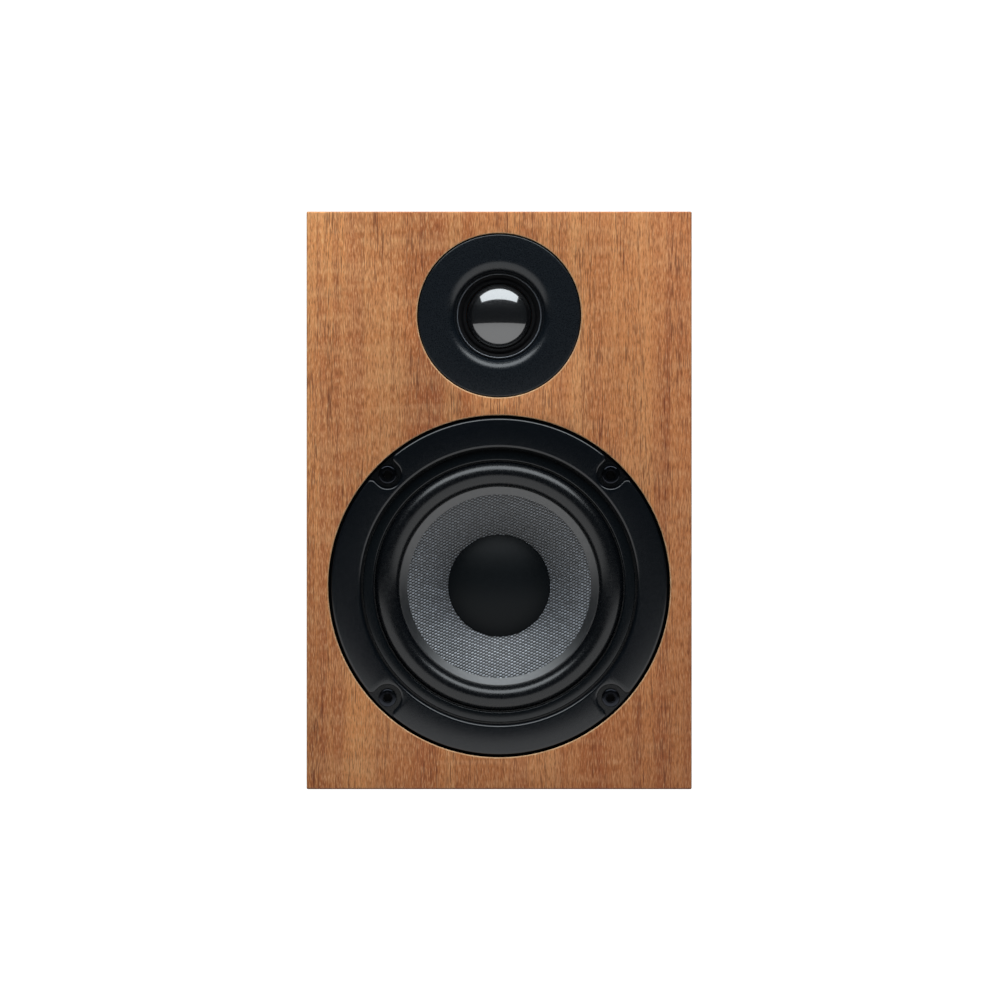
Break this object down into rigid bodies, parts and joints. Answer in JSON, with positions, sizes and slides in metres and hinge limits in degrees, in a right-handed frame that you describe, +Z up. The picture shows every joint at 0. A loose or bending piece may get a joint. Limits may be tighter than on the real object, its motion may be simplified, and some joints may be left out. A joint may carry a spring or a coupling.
{
  "type": "bookshelf speaker",
  "caption": "Small two-way bookshelf loudspeaker in a walnut-veneered box, with a woven-cone woofer below a dome tweeter, a rear reflex port and screw terminals.",
  "frame": {"origin": "centre of the cabinet's flat underside, midway between the front face and the rear edge of the boards", "axes": "+Z up, +Y towards the rear, so the drivers face -Y, and +X to the right seen from the front"},
  "size_m": [0.15, 0.1892, 0.225],
  "materials": {
    "walnut_veneer": "satin lacquered walnut veneer on fibreboard, vertical grain",
    "painted_board": "fine satin black paint on fibreboard",
    "wadding": "loose white polyester fibre",
    "basket_plastic": "satin black glass-filled moulding",
    "trim_plastic": "satin black moulding",
    "foam": "closed-cell black foam",
    "surround_rubber": "smooth black butyl rubber with a soft sheen",
    "woven_fibre": "woven grey fibre in a clear resin, visible diagonal weave",
    "cap_plastic": "smooth matt black moulding",
    "former_aluminium": "thin rolled foil",
    "copper_wire": "enamelled copper wire, close wound",
    "spider_cloth": "corrugated resin-dipped cloth",
    "zinc_steel": "bright zinc-plated steel",
    "ferrite": "dull dark grey sintered ferrite",
    "tag_board": "brown laminated board with tinned tags",
    "tinsel": "braided tinsel lead",
    "black_steel": "blackened socket-head steel",
    "faceplate_plastic": "satin black moulding",
    "ring_plastic": "semi-gloss black moulding",
    "dome_cloth": "silk dome with a glossy black damping coat",
    "gold_plate": "polished gold-plated brass",
    "knob_red": "clear-red moulding",
    "knob_black": "black moulding",
    "tinned_brass": "tinned brass",
    "circuit_board": "green glass-fibre board",
    "nylon": "natural nylon",
    "bobbin_plastic": "black moulding",
    "capacitor_film": "blue film capacitor sleeve",
    "resistor_cement": "white cement body",
    "wire_red": "red and black stranded hook-up wire in soft insulation"
  },
  "bodies": {
    "cabinet": {"front_baffle": "walnut_veneer", "left_side_panel": "walnut_veneer", "right_side_panel": "walnut_veneer", "top_panel": "walnut_veneer", "bottom_panel": "walnut_veneer", "rear_panel": "painted_board", "side_wadding": "wadding", "top_wadding": "wadding", "woofer_basket": "basket_plastic", "woofer_gasket": "foam", "woofer_trim_ring": "trim_plastic", "woofer_surround": "surround_rubber", "woofer_spider": "spider_cloth", "woofer_top_plate": "zinc_steel", "woofer_magnet": "ferrite", "woofer_pole_plate": "zinc_steel", "woofer_terminal_strip": "tag_board", "woofer_tinsel_leads": "tinsel", "woofer_screws": "black_steel", "tweeter_faceplate": "faceplate_plastic", "tweeter_gasket": "foam", "tweeter_retaining_ring": "ring_plastic", "tweeter_surround": "surround_rubber", "tweeter_top_plate": "zinc_steel", "tweeter_magnet": "ferrite", "tweeter_pole_plate": "zinc_steel", "tweeter_rear_cup": "trim_plastic", "tweeter_terminals": "gold_plate", "tweeter_screws": "zinc_steel", "port_tube": "trim_plastic", "terminal_cup": "trim_plastic", "terminal_cup_gasket": "foam", "terminal_cup_screws": "black_steel", "red_post_stud": "gold_plate", "black_post_stud": "gold_plate", "red_post_nuts": "tinned_brass", "black_post_nuts": "tinned_brass", "red_solder_tag": "tinned_brass", "black_solder_tag": "tinned_brass", "crossover_board": "circuit_board", "crossover_spacers": "nylon", "crossover_screws": "zinc_steel", "crossover_bobbins": "bobbin_plastic", "crossover_windings": "copper_wire", "crossover_capacitors": "capacitor_film", "crossover_resistors": "resistor_cement", "input_wires": "wire_red", "woofer_wires": "wire_red", "tweeter_wires": "wire_red"},
    "woofer_moving_assembly": {"woofer_cone": "woven_fibre", "woofer_dust_cap": "cap_plastic", "woofer_coil_former": "former_aluminium", "woofer_voice_coil": "copper_wire"},
    "tweeter_moving_assembly": {"tweeter_dome": "dome_cloth", "tweeter_coil_former": "former_aluminium", "tweeter_voice_coil": "copper_wire"},
    "red_clamp_washer_body": {"red_clamp_washer": "gold_plate"},
    "black_clamp_washer_body": {"black_clamp_washer": "gold_plate"},
    "red_knob_body": {"red_knob": "knob_red"},
    "black_knob_body": {"black_knob": "knob_black"}
  },
  "joints": [
    {"name": "woofer_travel", "type": "slide", "parent": "cabinet", "child": "woofer_moving_assembly", "axis": [0, -1, 0], "range_m": [-0.004, 0.004], "stiffness_N_per_m": 1500, "deforming": ["woofer_surround", "woofer_spider", "woofer_tinsel_leads"]},
    {"name": "tweeter_travel", "type": "slide", "parent": "cabinet", "child": "tweeter_moving_assembly", "axis": [0, -1, 0], "range_m": [-0.0003, 0.0003], "stiffness_N_per_m": 2000, "deforming": ["tweeter_surround"]},
    {"name": "red_washer_slide", "type": "slide", "parent": "cabinet", "child": "red_clamp_washer_body", "axis": [0, 1, 0], "range_m": [0, 0.004]},
    {"name": "red_knob_turn", "type": "hinge", "parent": "red_clamp_washer_body", "child": "red_knob_body", "pos_m": [0.0095, 0.083, 0.062], "axis": [0, 1, 0], "range_deg": [0, 1440]},
    {"name": "black_washer_slide", "type": "slide", "parent": "cabinet", "child": "black_clamp_washer_body", "axis": [0, 1, 0], "range_m": [0, 0.004]},
    {"name": "black_knob_turn", "type": "hinge", "parent": "black_clamp_washer_body", "child": "black_knob_body", "pos_m": [-0.0095, 0.083, 0.062], "axis": [0, 1, 0], "range_deg": [0, 1440]}
  ],
  "couplings": [
    {"joint": "red_knob_turn", "follows": "red_washer_slide", "rad_per_m": 6283.2},
    {"joint": "black_knob_turn", "follows": "black_washer_slide", "rad_per_m": 6283.2}
  ]
}
